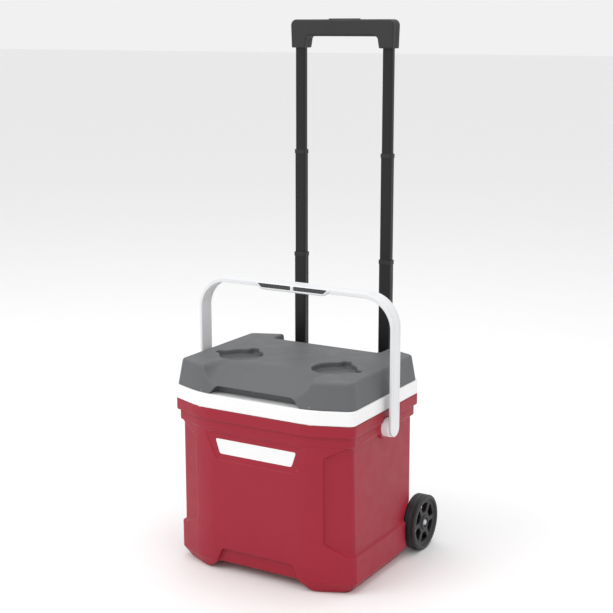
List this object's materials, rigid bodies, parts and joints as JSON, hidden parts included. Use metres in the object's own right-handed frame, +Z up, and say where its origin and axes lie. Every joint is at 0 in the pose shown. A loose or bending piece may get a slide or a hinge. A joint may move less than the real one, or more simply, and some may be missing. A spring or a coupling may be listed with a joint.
{
  "type": "wheeled cooler chest",
  "caption": "Wheeled hard cooler chest with an insulated tub, hinged lid with can holders, swinging bail handle and telescoping tow handle.",
  "frame": {"origin": "middle of the footprint's bounding rectangle, on the ground under the front feet and the wheels", "axes": "+X to the chest's right as seen from its front, +Y to the rear where the tow handle is, +Z up"},
  "size_m": [0.402, 0.347, 0.979],
  "materials": {
    "shell_red": "satin",
    "rim_white": "satin",
    "lid_grey": "satin",
    "trim_black": "matte",
    "tube_black": "satin",
    "wheel_black": "satin",
    "insert_grey": "matte",
    "foam": "matte",
    "steel": "satin"
  },
  "bodies": {
    "chest": {"outer_shell": "shell_red", "inner_liner": "rim_white", "foam_core": "foam", "nameplate": "rim_white", "pivot_boss_left": "rim_white", "pivot_boss_right": "rim_white", "hinge_base_left": "rim_white", "hinge_base_right": "rim_white", "hinge_pin_left": "steel", "hinge_pin_right": "steel", "axle_carrier": "trim_black", "axle": "steel", "axle_cap_left": "steel", "axle_cap_right": "steel", "carrier_screws": "steel", "tow_bracket": "trim_black", "bracket_screws": "steel", "outer_tube_left": "tube_black", "outer_tube_right": "tube_black", "outer_collar_left": "trim_black", "outer_collar_right": "trim_black"},
    "lid": {"lid_shell": "lid_grey", "lid_liner": "rim_white", "lid_foam": "foam", "hinge_leaf_left": "lid_grey", "hinge_leaf_right": "lid_grey"},
    "bail": {"bail_handle": "rim_white", "bail_inserts": "insert_grey", "bail_clips": "steel"},
    "wheel_left": {"wheel_left": "wheel_black"},
    "wheel_right": {"wheel_right": "wheel_black"},
    "tow_lower": {"lower_tube_left": "tube_black", "lower_tube_right": "tube_black", "lower_collar_left": "trim_black", "lower_collar_right": "trim_black", "lower_shoe_left": "insert_grey", "lower_shoe_right": "insert_grey"},
    "tow_middle": {"middle_tube_left": "tube_black", "middle_tube_right": "tube_black", "middle_collar_left": "trim_black", "middle_collar_right": "trim_black", "middle_shoe_left": "insert_grey", "middle_shoe_right": "insert_grey"},
    "tow_upper": {"upper_tube_left": "tube_black", "upper_tube_right": "tube_black", "upper_shoe_left": "insert_grey", "upper_shoe_right": "insert_grey", "grip_front": "trim_black", "grip_rear": "trim_black", "grip_screws": "steel", "button_spring": "steel"},
    "release_button": {"release_button": "trim_black"}
  },
  "joints": [
    {"name": "lid_hinge", "type": "hinge", "parent": "chest", "child": "lid", "pos_m": [0, 0.1385, 0.337], "axis": [-1, 0, 0], "range_deg": [0, 30]},
    {"name": "bail_swing", "type": "hinge", "parent": "chest", "child": "bail", "pos_m": [0, -0.023, 0.277], "axis": [1, 0, 0], "range_deg": [-36, 134]},
    {"name": "wheel_left_spin", "type": "hinge", "parent": "chest", "child": "wheel_left", "pos_m": [-0.184, 0.1215, 0.052], "axis": [1, 0, 0], "continuous": true},
    {"name": "wheel_right_spin", "type": "hinge", "parent": "chest", "child": "wheel_right", "pos_m": [0.184, 0.1215, 0.052], "axis": [1, 0, 0], "continuous": true},
    {"name": "tow_lower_slide", "type": "slide", "parent": "chest", "child": "tow_lower", "axis": [0, 0, 1], "range_m": [-0.19, 0]},
    {"name": "tow_middle_slide", "type": "slide", "parent": "tow_lower", "child": "tow_middle", "axis": [0, 0, 1], "range_m": [-0.187, 0]},
    {"name": "tow_upper_slide", "type": "slide", "parent": "tow_middle", "child": "tow_upper", "axis": [0, 0, 1], "range_m": [-0.188, 0]},
    {"name": "release_button_press", "type": "slide", "parent": "tow_upper", "child": "release_button", "axis": [0, 0, -1], "range_m": [0, 0.005], "stiffness_N_per_m": 300, "deforming": ["button_spring"]}
  ]
}
